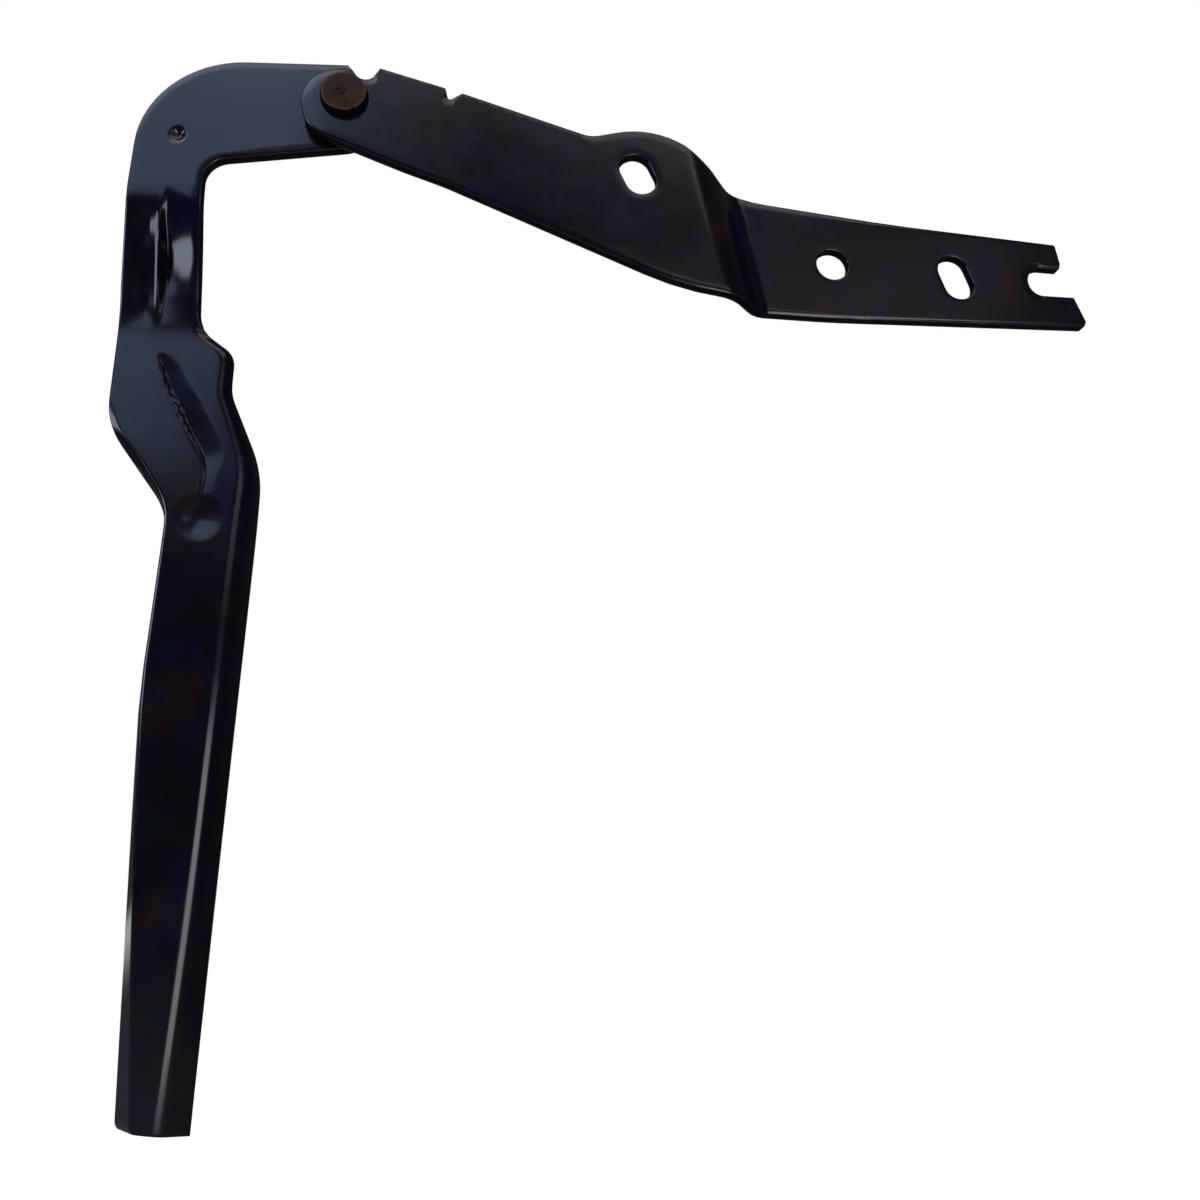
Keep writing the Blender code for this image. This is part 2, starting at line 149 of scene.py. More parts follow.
# Depths along Y, from the bracket's front face
SPACER_FRONT = PLATE + CLEARANCE
ARM_FRONT = SPACER_FRONT + SPACER_THICKNESS + CLEARANCE
ARM_BACK = ARM_FRONT + PLATE
STOP_DEPTH = ARM_BACK + STOP_PAST_ARM
BACKING_FRONT = ARM_BACK + CLEARANCE
TAIL_FRONT = BACKING_FRONT + BACKING_THICKNESS + CLEARANCE
TAIL_BACK = TAIL_FRONT + TAIL_HEIGHT
MOUNT_FACE = TAIL_BACK + TAB_BEHIND_RIVET
TAB_FRONT = MOUNT_FACE - PLATE
SHANK_HOLE = SHANK_RADIUS + CLEARANCE
BUSH_RADIUS = SHANK_HOLE + BUSH_WALL
HEAD_FRONT = -CLEARANCE - HEAD_HEIGHT

# Where the rivet's axis meets the bracket's front face
AXIS = Vector((-(ROUND_HOLE[0] + SLOT_HOLE[0]) / 2, -MOUNT_FACE,
               -(ROUND_HOLE[1] + SLOT_HOLE[1]) / 2))

# Fineness of the meshes
ARC_STEP = radians(6)
HOLE_STEPS = 32
TURNED_STEPS = 128
PLATE_CELL = 0.0012
ROLL_STEPS = 6
EDGE_SEGMENTS = 3
STATION_STEP = 0.0008
WEB_STEPS = 30
RIM_STEPS = 24

# Softened edges: their radius, and the angle from which an edge is shaded sharp
EDGE_ROUNDING = 0.00035
SHARP_ANGLE = radians(45)

# The roll of an edge: the share of the room up to the next edge that it may take, the least
# distance that counts there, and how often its width is evened out
ROLL_ROOM = 0.8
ROLL_CLEAR = 0.000003
ROLL_SMOOTHING = 12

# Room for the arm's rounded rim, how far ahead and behind its direction is taken, and the size of
# the block that cuts its end
RIM_ROOM = 0.0005
TURNING_REACH = 0.0040
WASTE_SIZE = 0.0300

# Corners of the bracket, x and z, each with the radius of its rounding
BRACKET_CORNERS = [
    (-END_RADIUS, END_RADIUS - END_DROP, END_RADIUS - END_FLAT),
    (0.0014, END_RADIUS - END_DROP, 0.0004),
    (0.0054, 0.0041, 0.0030),
    (*STOP_LEFT, 0.0003),
    (*STOP_RIGHT, 0.0003),
    (0.0286, 0.0019, 0.0008),
    (0.0324, 0.0048, 0.0010),
    (0.0690, -0.0060, 0.0090),
    (0.0885, -0.0003, 0.0250),
    (0.1100, -0.0160, 0.0450),
    (0.1600, -0.0206, 0.3000),
    (UPPER_PRONG_END - 0.0010, -0.0234, 0.0008),
    (UPPER_PRONG_END, -0.0296, 0.0008),
    (UPPER_PRONG_END - 0.0005, FORK_LEVEL + FORK_GAP / 2, 0.0005),
    (FORK_ROOT, FORK_LEVEL + FORK_GAP / 2, FORK_ROUNDING),
    (FORK_ROOT, FORK_LEVEL - FORK_GAP / 2, FORK_ROUNDING),
    (TAB_END - 0.0031, FORK_LEVEL - FORK_GAP / 2, 0.0005),
    (TAB_END, -0.0490, 0.0010),
    (TAB_END - 0.0009, -0.0508, 0.0010),
    (0.1400, -0.0534, 0.2000),
    (0.0985, -0.0531, 0.0800),
    (0.0285, -0.0246, 0.0400),
    (0.0170, -0.0208, 0.0300),
    (-END_RADIUS, END_RISE - END_RADIUS, END_RADIUS - END_FLAT),
]

# Corners of the rivet's profile, from the middle of the head to that of the tail: distance from the
# axis, depth and the radius of the rounding
RIVET_CORNERS = [
    (0, HEAD_FRONT, 0),
    (HEAD_RADIUS - HEAD_LIP, HEAD_FRONT + HEAD_CROWN, 0.0030),
    (HEAD_RADIUS - HEAD_TAPER, HEAD_FRONT + HEAD_CROWN * 2, 0.0003),
    (HEAD_RADIUS, -CLEARANCE, 0.0002),
    (SHANK_RADIUS, -CLEARANCE, 0),
    (SHANK_RADIUS, TAIL_FRONT, 0),
    (TAIL_RADIUS, TAIL_FRONT, 0.0003),
    (TAIL_RADIUS, TAIL_BACK, 0.0009),
    (0, TAIL_BACK, 0),
]

# Lowest and highest corner of the bracket's blank
BLANK_CORNERS = ((-END_RADIUS, 0, -0.0540), (TAB_END, 0, 0.0110))

# Corners of the arm, from the shoulder round the outside, the tip and back up the inside
ARM_CORNERS = [
    (ARM_END, 0.0157, 0.0040),
    (-0.0550, 0.0109, 0.0298),
    (-0.0567, -0.0560, 0.0400),
    (-0.0568, -0.0952, 0.0220),
    (-0.0411, -0.1168, 0.0160),
    (-0.0431, -0.1640, 0.1200),
    (-0.0378, TIP, 0.0022),
    (-0.0207, TIP, 0.0006),
    (-0.0175, -0.1047, 0.0320),
    (-0.0264, -0.0841, 0.0120),
    (-0.0263, -0.0727, 0.0060),
    (-0.0363, -0.0660, 0.0085),
    (-0.0366, -0.0200, 0.0070),
    (ARM_END, -0.0109, 0.0120),
]

# The line that the arm's cross sections follow
SPINE_INSET = 0.0004
ARM_SPINE = [(ARM_END - SPINE_INSET, 0.0005, 0), (-0.0460, 0.0005, 0.0300), (-0.0460, -0.0640, 0.0250),
             (-0.0290, -0.1160, 0.0250), (-0.0292, TIP + SPINE_INSET, 0)]

# The flanges of the tongue: at each level the radius of the bend, the length beyond it, and the
# angle in degrees
FLANGE = [(-0.0680, 0.0036, 0.0030, 0), (-0.0760, 0.0036, 0.0012, 52), (-0.0860, 0.0036, 0.0012, 60),
          (-0.0980, 0.0040, 0.0018, 72), (-0.1150, 0.0047, 0.0036, 76), (-0.1250, 0.0048, 0.0042, 76),
          (-0.2050, 0.0048, 0.0042, 65), (TIP, 0.0048, 0.0061, 50)]

# The trough pressed into the arm: at each level its left edge, its depth, how wide its steep left
# wall and its right side are, and how hollow the right side is
TROUGH = [
    (-0.0290, -0.0462, 0.0000, 0.0014, 0.0040, 1.0),
    (-0.0325, -0.0465, 0.0003, 0.0014, 0.0055, 1.0),
    (-0.0370, -0.0472, 0.0010, 0.0017, 0.0070, 1.0),
    (-0.0430, -0.0472, 0.0024, 0.0018, 0.0074, 1.0),
    (-0.0480, -0.04715, 0.0027, 0.0018, 0.0074, 1.0),
    (-0.0530, -0.0471, 0.0021, 0.0018, 0.0074, 1.0),
    (-0.0590, -0.0470, 0.0008, 0.0016, 0.0070, 1.0),
    (-0.0660, -0.0469, 0.0, 0.0012, 0.0060, 1.2),
    (-0.0740, -0.0460, 0.0, 0.0009, 0.0045, 1.5),
    (-0.0785, -0.0447, 0.0007, 0.0008, 0.0050, 1.4),
    (-0.0850, -0.0422, 0.0009, 0.0008, 0.0058, 1.4),
    (-0.0900, -0.0394, 0.0009, 0.0008, 0.0060, 1.4),
    (-0.0980, -0.0350, 0.0009, 0.0008, 0.0056, 1.4),
    (-0.1030, -0.0322, 0.0007, 0.0008, 0.0046, 1.4),
    (-0.1075, -0.0312, 0.0003, 0.0008, 0.0030, 1.4),
    (-0.1120, -0.0315, 0.0002, 0.0008, 0.0024, 1.4),
    (-0.1180, -0.0321, 0.0, 0.0008, 0.0025, 1.4),
]
SLOPE_STEP = 0.001

# The raised lip along the trough's left edge: its share of the trough's depth, and its width
LIP_SHARE = 0.12
LIP_WIDTH = 0.0009

# How much of a wall's width the soft curve at each of its ends takes
RAMP_EASE = 0.18

# The shallow dish at the left of the trough: how deep it is at each level, how wide, and where
# it is deepest
DISH = [(-0.0340, 0.0), (-0.0395, 0.0008), (-0.0480, 0.0001), (-0.0600, 0.0006), (-0.0670, 0.0)]
DISH_WIDTH = 0.0085
DISH_MIDDLE = 0.0030

# Round marks pressed in, each with its middle, radius and depth: the dimple at the shoulder and
# the bowl where the trough ends
ROUND_MARKS = [((-0.0444, -0.0127), 0.0027, 0.0012), ((-0.0310, -0.1200), 0.0066, 0.0010)]

# The comma-shaped dent in the rivet's head, pressed in as relief and painted dark as shade: its place
# from the axis, its reach and its ring
COMMA = (-0.0012, 0.0001)
COMMA_REACH = 0.0012
COMMA_RING = 0.0017

# How the sheared edges roll off to the front, and how little those of the holes do
ROLL_WIDTH = 0.0026
ROLL_DEPTH = 0.00030
HOLE_ROLL = 0.25

# How much wider the trough's walls are at the back of the sheet
BACK_SPREAD = 0.0030

# The faint tints of the paint: the scale of each one's patches, the noise levels between which it
# comes in, its share and its colour
PAINT_TINTS = [
    (42, 0.48, 0.70, 1.0, (0.0120, 0.0055, 0.0050)),
    (57, 0.46, 0.68, 0.8, (0.0018, 0.0028, 0.0190)),
    (35, 0.52, 0.72, 0.8, (0.0030, 0.0062, 0.0055)),
]

# The studio: its middle, its floor and how far that is lifted to white below the hinge
STUDIO_MIDDLE = Vector((-0.12, 0, -0.03))
FLOOR_REACH = 3.0
FLOOR_COLOUR = (0.45, 0.45, 0.45, 1)
FLOOR_LIFT = 0.80

# Between which distances from the middle the floor turns white, between which distances behind the
# hinge it shows white in a gloss too, and the same for how directly behind the world does
WHITE_FROM_MIDDLE = (0.5, 1.1)
WHITE_BEHIND = (1.3, 2.2)
WORLD_BEHIND = (0.90, 0.98)

# The soft lamps: azimuth, elevation, distance, width, height, the setting of the level and the colour
BLUE_LIGHT = (0.47, 0.64, 1.0)
PALE_BLUE_LIGHT = (0.72, 0.80, 1.0)
WHITE_LIGHT = (0.98, 0.97, 1.0)
WARM_LIGHT = (1.0, 0.84, 0.86)
LAMPS = {
    "left_box": (-38, 40, 2.0, 1.4, 1.5, "left_level", BLUE_LIGHT),
    "top_box": (-16, 62.5, 2.0, 2.6, 1.42, "top_level", WHITE_LIGHT),
    "front_panel": (-12, 32, 2.0, 0.36, 0.9, "front_level", BLUE_LIGHT),
    "right_panel": (20, 29.5, 2.0, 1.0, 0.28, "right_level", WARM_LIGHT),
    "right_strip": (20, 18, 2.0, 1.0, 0.40, "right_strip_level", WHITE_LIGHT),
    "low_left_box": (-64, 7, 1.2, 0.64, 0.32, "low_left_level", PALE_BLUE_LIGHT),
    "low_right_box": (20, -11, 1.2, 0.62, 0.50, "low_right_level", WHITE_LIGHT),
}

# The camera: where it stands, where it looks and its lens on a 36 mm sensor
CAMERA_PLACE = (-0.1191, -0.2548, -0.1665)
CAMERA_AZIMUTH = radians(7)
CAMERA_ELEVATION = radians(14)
CAMERA_LENS = 30
CAMERA_NEAR = 0.01


class HingeFinish(bpy.types.PropertyGroup):
    """Colours and gloss of the hinge's finishes."""
    paint: FloatVectorProperty(
        name="Black paint", description="Colour of the dipped paint on both sheets",
        subtype="COLOR", size=3, min=0, max=1, default=(0.0034, 0.0022, 0.0060))
    paint_roughness: FloatProperty(
        name="Paint roughness", description="How matt the dipped paint is",
        subtype="FACTOR", min=0, max=1, default=0.13)
    rivet: FloatVectorProperty(
        name="Rivet paint", description="Colour of the thinly painted rivet",
        subtype="COLOR", size=3, min=0, max=1, default=(0.035, 0.019, 0.009))
    plating: FloatVectorProperty(
        name="Plating", description="Colour of the zinc on the washers",
        subtype="COLOR", size=3, min=0, max=1, default=(0.42, 0.41, 0.39))
    bronze: FloatVectorProperty(
        name="Bronze", description="Colour of the bush",
        subtype="COLOR", size=3, min=0, max=1, default=(0.38, 0.25, 0.13))


def brightness(name, lamp, default):
    """The setting of how bright a lamp of the studio is."""
    return FloatProperty(name=name, description=f"Brightness of the {lamp}", min=0, default=default)


class HingeStudio(bpy.types.PropertyGroup):
    """Sizes and levels of the studio."""
    floor_drop: FloatProperty(
        name="Floor below the tip", description="Distance from the arm's tip down to the floor",
        unit="LENGTH", subtype="DISTANCE", min=0, default=0.25)
    left_level: brightness("Left soft box", "soft box at the upper left", 1.5)
    top_level: brightness("Top soft box", "soft box above", 1.0)
    front_level: brightness("Front panel", "dim panel beside the left soft box", 0.38)
    right_level: brightness("Right panel", "dim panel at the upper right", 0.32)
    right_strip_level: brightness("Right strip", "strip below the right panel", 0.8)
    low_left_level: brightness("Low left box", "low soft box at the left", 5.0)
    low_right_level: brightness("Low right box", "low soft box at the right", 3.8)
    world_level: FloatProperty(
        name="World level", description="Strength of the even light from all round",
        min=0, max=1, default=0.04)


class Value:
    """A shader socket that adds Math nodes when it is used in an expression."""

    def __init__(self, shader, socket):
        self.shader = shader
        self.socket = socket

    def __add__(self, other):
        return self.shader.math("ADD", self, other)

    def __sub__(self, other):
        return self.shader.math("SUBTRACT", self, other)

    def __rsub__(self, other):
        return self.shader.math("SUBTRACT", other, self)

    def __mul__(self, other):
        return self.shader.math("MULTIPLY", self, other)

    __radd__ = __add__
    __rmul__ = __mul__

    def held(self):
        """The value kept between 0 and 1."""
        return self.shader.math("MINIMUM", self.shader.math("MAXIMUM", self, 0.0), 1.0)


class Shader:
    """A node tree, and one way to add a node to it."""

    def __init__(self, tree):
        self.tree = tree

    def math(self, operation, *values):
        return self.node("ShaderNodeMath", {"operation": operation}, *values)

    def node(self, kind, settings, *values, output=0, **named):
        """Adds a node: first its settings, then the values or links of its sockets."""
        made = self.tree.nodes.new(kind)
        for setting, value in settings.items():
            setattr(made, setting, value)
        for index, value in enumerate(values):
            self.feed(made.inputs[index], value)
        for name, value in named.items():
            self.feed(made.inputs[name], value)
        return Value(self, made.outputs[output])

    def feed(self, socket, value):
        if isinstance(value, Value):
            self.tree.links.new(value.socket, socket)
        else:
            socket.default_value = value

    def stepped(self, value, low, high):
        """A share that rises smoothly from 0 at the low value to 1 at the high one."""
        return self.node("ShaderNodeMapRange", {"interpolation_type": "SMOOTHSTEP"},
                         value, low, high, 0.0, 1.0)

    def tint(self, share, first, second):
        """A colour between two, by a share."""
        mix = self.node("ShaderNodeMix", {"data_type": "RGBA"}, share, output=2)
        inputs = mix.socket.node.inputs
        for socket, colour in ((inputs[6], first), (inputs[7], second)):
            self.feed(socket, colour if isinstance(colour, Value) else (*colour, 1))
        return mix

    def part_of(self, place, axis):
        """One of the three numbers of a place or direction."""
        return self.node("ShaderNodeSeparateXYZ", {}, place, output=axis)

    def seen(self):
        """1 where the camera sees the surface, and 1 where a gloss or a glass does."""
        camera = self.node("ShaderNodeLightPath", {}, output="Is Camera Ray")
        gloss = self.node("ShaderNodeLightPath", {}, output="Is Glossy Ray")
        glass = self.node("ShaderNodeLightPath", {}, output="Is Transmission Ray")
        return camera, (gloss + glass).held()


class Finish(Shader):
    """A procedural material: its Principled shader and the nodes that feed it."""

    def __init__(self, name, roughness=0.5, metallic=0.0, specular=0.5):
        self.material = bpy.data.materials.new(name)
        self.material.use_nodes = True
        super().__init__(self.material.node_tree)
        self.surface = self.tree.nodes["Principled BSDF"]
        self.surface.inputs["Roughness"].default_value = roughness
        self.surface.inputs["Metallic"].default_value = metallic
        self.surface.inputs["Specular IOR Level"].default_value = specular
        self.place = self.node("ShaderNodeTexCoord", {}, output="Object")

    def noise(self, scale, detail=3):
        """Noise in the object's own space, about 0.5 in the middle."""
        return self.node("ShaderNodeTexNoise", {}, self.place, Scale=scale, Detail=detail,
                         Roughness=0.55)

    def patches(self, scale, low, high, detail=3):
        """Noise turned into a mask that is 0 below one level and 1 above another."""
        return self.stepped(self.noise(scale, detail), low, high)

    def bump(self, height, distance, strength):
        """Relief of a height in metres."""
        relief = self.node("ShaderNodeBump", {}, Strength=strength, Distance=distance, Height=height)
        self.feed(self.surface.inputs["Normal"], relief)

    def set(self, **sockets):
        """Feeds the shader's own sockets, such as Base_Color."""
        for name, value in sockets.items():
            self.feed(self.surface.inputs[name.replace("_", " ")], value)


def blend(start, end, value):
    """Rises smoothly from 0 at start to 1 at end."""
    share = min(max((value - start) / (end - start), 0), 1)
    return share * share * (3 - 2 * share)


def ramp(start, end, value):
    """Rises evenly from 0 at start to 1 at end, with short soft ends."""
    share = min(max((value - start) / (end - start), 0), 1)
    steepest = 1 / (1 - RAMP_EASE)
    if share < RAMP_EASE:
        return steepest * share * share / (2 * RAMP_EASE)
    if share > 1 - RAMP_EASE:
        return 1 - steepest * (1 - share) ** 2 / (2 * RAMP_EASE)
    return steepest * (share - RAMP_EASE / 2)


def fillet(before, corner, after, radius):
    """The points that round one corner, in the order before to after."""
    back = (before - corner).normalized()
    ahead = (after - corner).normalized()
    half = back.angle(ahead) / 2
    reach = radius / tan(half)
    centre = corner + (back + ahead).normalized() * (radius / sin(half))
    start = corner + back * reach - centre
    turn = pi - 2 * half
    side = 1 if back.cross(ahead) < 0 else -1
    steps = max(1, ceil(turn / ARC_STEP))
    return [centre + Matrix.Rotation(side * turn * step / steps, 2) @ start
            for step in range(steps + 1)]


def rounded(corners, closed=True):
    """The path through the corners, with each one rounded by its own radius."""
    spots = [Vector(corner[:2]) for corner in corners]
    path = []
    for index, (spot, corner) in enumerate(zip(spots, corners)):
        at_end = index in (0, len(corners) - 1)
        if corner[2] == 0 or (at_end and not closed):
            path.append(spot)
        else:
            path += fillet(spots[index - 1], spot, spots[(index + 1) % len(spots)], corner[2])
    return path


def reach_to(outline, point, direction):
    """How far the outline lies from the point, ahead and behind along the direction."""
    side = Vector((-direction.y, direction.x))
    ahead, behind = 1.0, -1.0
    for start, end in zip(outline, outline[1:] + outline[:1]):
        from_line = (start - point).dot(side)
        to_line = (end - point).dot(side)
        if from_line * to_line > 0 or from_line == to_line:
            continue
        crossing = start.lerp(end, from_line / (from_line - to_line))
        distance = (crossing - point).dot(direction)
        if distance >= 0:
            ahead = min(ahead, distance)
        else:
            behind = max(behind, distance)
    return behind, ahead


def step_depth(distance, drop, angle, first, second):
    """Depth of a joggle at a distance past its start: a bend, a slope and a bend back."""
    slope_drop = drop - (first + second) * (1 - cos(angle))
    slope_end = first * sin(angle) + slope_drop / tan(angle)
    end = slope_end + second * sin(angle)
    if distance <= 0:
        return 0.0
    if distance < first * sin(angle):
        return first - sqrt(first * first - distance * distance)
    if distance < slope_end:
        return first * (1 - cos(angle)) + (distance - first * sin(angle)) * tan(angle)
    if distance < end:
        return drop - second + sqrt(second * second - (end - distance) ** 2)
    return drop


def stadium(centre, width, length, tilt=0.0):
    """The outline of a slot with round ends, its long axis tilted from upright."""
    half = (length - width) / 2
    skipped = 1 if half < NEAR else 0
    points = []
    for end, first in ((1, 0), (-1, pi)):
        for step in range(HOLE_STEPS + 1 - skipped):
            angle = first + pi * step / HOLE_STEPS
            points.append(Vector((cos(angle), sin(angle))) * (width / 2) + Vector((0, end * half)))
    return [Matrix.Rotation(tilt, 2) @ point + Vector(centre) for point in points]


def new_object(name, mesh, finishes=()):
    """Adds an object to the scene, with its finishes."""
    for finish in finishes:
        mesh.materials.append(finish)
    made = bpy.data.objects.new(name, mesh)
    bpy.context.scene.collection.objects.link(made)
    return made


def bake(piece):
    """Replaces the piece's mesh by what its modifiers make of it."""
    graph = bpy.context.evaluated_depsgraph_get()
    made = bpy.data.meshes.new_from_object(piece.evaluated_get(graph), depsgraph=graph)
    piece.modifiers.clear()
    piece.data = made


def combine(piece, other, operation):
    """Cuts a piece by another shape, or joins that shape to it, and takes the other away."""
    change = piece.modifiers.new(other.name, "BOOLEAN")
    change.operation = operation
    change.solver = "EXACT"
    change.object = other
    bpy.context.view_layer.update()
    bake(piece)
    bpy.data.objects.remove(other)


def prism(name, outline, front, back, finishes=()):
    """A flat outline in x and z, as deep as from front to back, its walls in the last finish."""
    mesh = bpy.data.meshes.new(name)
    block = bmesh.new()
    corners = [block.verts.new((point.x, front, point.y)) for point in outline]
    face = block.faces.new(corners)
    grown = bmesh.ops.extrude_face_region(block, geom=[face])["geom"]
    moved = [item for item in grown if isinstance(item, bmesh.types.BMVert)]
    bmesh.ops.translate(block, verts=moved, vec=(0, back - front, 0))
    bmesh.ops.recalc_face_normals(block, faces=block.faces)
    for wall in block.faces:
        wall.material_index = max(len(finishes) - 1, 0)
    block.to_mesh(mesh)
    block.free()
    return new_object(name, mesh, finishes)


def smooth(mesh):
    """Shades the mesh smoothly, apart from its sharp edges."""
    mesh.polygons.foreach_set("use_smooth", [True] * len(mesh.polygons))
    mesh.set_sharp_from_angle(angle=SHARP_ANGLE)


def dress(piece, slot, body, *nodes):
    """Moves a piece onto the rivet's axis and puts it in the place of the model's nodes."""
    piece.data.transform(Matrix.Translation(AXIS))
    smooth(piece.data)
    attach(piece, body)
    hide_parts(*nodes)


def inward_normals(loop, hole):
    """Directions into the plate at each point of a loop."""
    area = sum(start.cross(end) for start, end in zip(loop, loop[1:] + loop[:1]))
    side = -1 if (area < 0) != hole else 1
    found = []
    for before, after in zip(loop[-1:] + loop[:-1], loop[1:] + loop[:1]):
        along = (after - before).normalized()
        found.append(Vector((-along.y, along.x)) * side)
    return found


def rolls_of(loops, normals):
    """How wide the roll can be at each point, so that the rolls of two edges never meet."""
    spots = [spot for loop in loops for spot in loop]
    widths = []
    for loop, inward in zip(loops, normals):
        row = []
        for spot, normal in zip(loop, inward):
            room = ROLL_WIDTH / ROLL_ROOM
            for other in spots:
                gap = other - spot
                ahead = gap.dot(normal)
                if ahead > ROLL_CLEAR:
                    room = min(room, gap.length_squared / (2 * ahead))
            row.append(room * ROLL_ROOM)
        for _ in range(ROLL_SMOOTHING):
            row = [min(own, (own + before + after) / 3)
                   for own, before, after in zip(row, row[-1:] + row[:-1], row[1:] + row[:1])]
        widths.append(row)
    return widths


def edge_profile(width, sink):
    """How far in and how deep the rings of an edge lie, from the flat front round to the flat back."""
    curve = min(EDGE_ROUNDING, width / 2)
    first = atan2(2 * sink, ROLL_WIDTH - EDGE_ROUNDING)
    rings = []
    for step in range(ROLL_STEPS):
        share = 1 - step / ROLL_STEPS
        rings.append((curve + share * (width - curve), sink * (1 - share) ** 2))
    for step in range(EDGE_SEGMENTS + 1):
        angle = first + (pi / 2 - first) * step / EDGE_SEGMENTS
        inward = curve * (1 - sin(angle)) / (1 - sin(first))
        rings.append((inward, sink + curve * (cos(first) - cos(angle))))
    for step in range(EDGE_SEGMENTS + 1):
        angle = pi / 2 * step / EDGE_SEGMENTS
        rings.append((curve * (1 - cos(angle)), PLATE - curve * (1 - sin(angle))))
    return rings


def flat_plate(name, outline, holes, finishes):
    """A flat plate with holes, its front at depth 0, its edges rolled off in front and sheared."""
    mesh = bpy.data.meshes.new(name)
    plate = bmesh.new()
    loops = [outline] + holes
    normals = [inward_normals(loop, index > 0) for index, loop in enumerate(loops)]
    fronts, backs = [], []
    for loop, inward, widths in zip(loops, normals, rolls_of(loops, normals)):
        sink = ROLL_DEPTH * (1 if loop is outline else HOLE_ROLL)
        columns = []
        for spot, normal, width in zip(loop, inward, widths):
            column = []
            for across, depth in edge_profile(width, sink):
                point = spot + normal * across
                column.append(plate.verts.new((point.x, depth, point.y)))
            columns.append(column)
        for first, second in zip(columns, columns[1:] + columns[:1]):
            for ring in range(len(first) - 1):
                face = plate.faces.new((first[ring], second[ring], second[ring + 1], first[ring + 1]))
                face.material_index = 1 if ring == ROLL_STEPS + EDGE_SEGMENTS else 0
            fronts.append(plate.edges.get((first[0], second[0])))
            backs.append(plate.edges.get((first[-1], second[-1])))
    for edges in (fronts, backs):
        bmesh.ops.triangle_fill(plate, edges=edges, use_beauty=True, normal=(0, -1, 0))
    bmesh.ops.recalc_face_normals(plate, faces=plate.faces)
    plate.to_mesh(mesh)
    plate.free()
    return new_object(name, mesh, finishes)


def cut_into_cells(mesh, low, high):
    """Cuts a mesh along upright and level planes, so that it can be bent."""
    cut = bmesh.new()
    cut.from_mesh(mesh)
    for axis in (0, 2):
        count = ceil((high[axis] - low[axis]) / PLATE_CELL)
        for index in range(1, count):
            spot, normal = Vector(), Vector()
            spot[axis] = low[axis] + (high[axis] - low[axis]) * index / count
            normal[axis] = 1
            bmesh.ops.bisect_plane(cut, geom=cut.verts[:] + cut.edges[:] + cut.faces[:],
                                   plane_co=spot, plane_no=normal)
    cut.to_mesh(mesh)
    cut.free()


def stop_strip():
    """The stop: a strip along the top edge that runs straight back from inside the plate."""
    left, right = Vector(STOP_LEFT), Vector(STOP_RIGHT)
    profile = [Vector(corner) for corner in ((STOP_TUCK, -PLATE), (STOP_DEPTH, -PLATE),
                                             (STOP_DEPTH, -STOP_INSET), (STOP_TUCK, -STOP_INSET))]
    along = (right - left).normalized()
    start = left + along * STOP_INSET
    strip = prism("stop_strip", profile, 0, STOP_INSET * 2 - (right - left).length)
    turned = Matrix.Rotation(-atan2(along.y, along.x), 4, "Y") @ Matrix.Rotation(pi / 2, 4, "Z")
    strip.data.transform(Matrix.Translation((start.x, 0, start.y)) @ turned)
    return strip


def bend_back(mesh):
    """Bends the flat bracket back through its joggle, keeping the plate's thickness."""
    nudge = 0.00001

    def depth_at(station):
        return step_depth(station - BEND_START, TAB_FRONT, BEND_ANGLE, BEND_OUTER, BEND_INNER)

    for vertex in mesh.vertices:
        station = vertex.co.x + BEND_SLANT * vertex.co.z
        if station <= BEND_START:
            continue
        rise = (depth_at(station + nudge) - depth_at(station - nudge)) / (2 * nudge)
        normal = Vector((-rise, 1, -rise * BEND_SLANT)).normalized()
        vertex.co = Vector((vertex.co.x, depth_at(station), vertex.co.z)) + normal * vertex.co.y


def make_bracket(finishes):
    """The body bracket: a flat end on the rivet, a joggle back and a forked bolting tab."""
    holes = [stadium((0, 0), SHANK_HOLE * 2, SHANK_HOLE * 2),
             stadium(EAR_HOLE, EAR_HOLE_WIDTH, EAR_HOLE_LENGTH, EAR_HOLE_TILT),
             stadium(ROUND_HOLE, ROUND_HOLE_DIAMETER, ROUND_HOLE_DIAMETER),
             stadium(SLOT_HOLE, SLOT_HOLE_WIDTH, SLOT_HOLE_LENGTH, SLOT_HOLE_TILT)]
    bracket = flat_plate("painted_bracket", rounded(BRACKET_CORNERS), holes, finishes)
    combine(bracket, stop_strip(), "UNION")
    cut_into_cells(bracket.data, *BLANK_CORNERS)
    bend_back(bracket.data)
    dress(bracket, "black_paint", "bracket_body", "bracket")


def stations_along(path):
    """Points and directions along a path, at even steps."""
    lengths = [0.0]
    for start, end in zip(path, path[1:]):
        lengths.append(lengths[-1] + (end - start).length)

    def point_after(distance):
        kept = min(max(distance, 0), lengths[-1])
        index = max(i for i in range(len(path) - 1) if lengths[i] <= kept + TINY)
        share = (kept - lengths[index]) / (lengths[index + 1] - lengths[index])
        return path[index].lerp(path[index + 1], share)

    count = ceil(lengths[-1] / STATION_STEP)
    found = []
    for step in range(count + 1):
        distance = lengths[-1] * step / count
        ahead = point_after(distance + TURNING_REACH) - point_after(distance - TURNING_REACH)
        found.append((point_after(distance), ahead.normalized()))
    return found


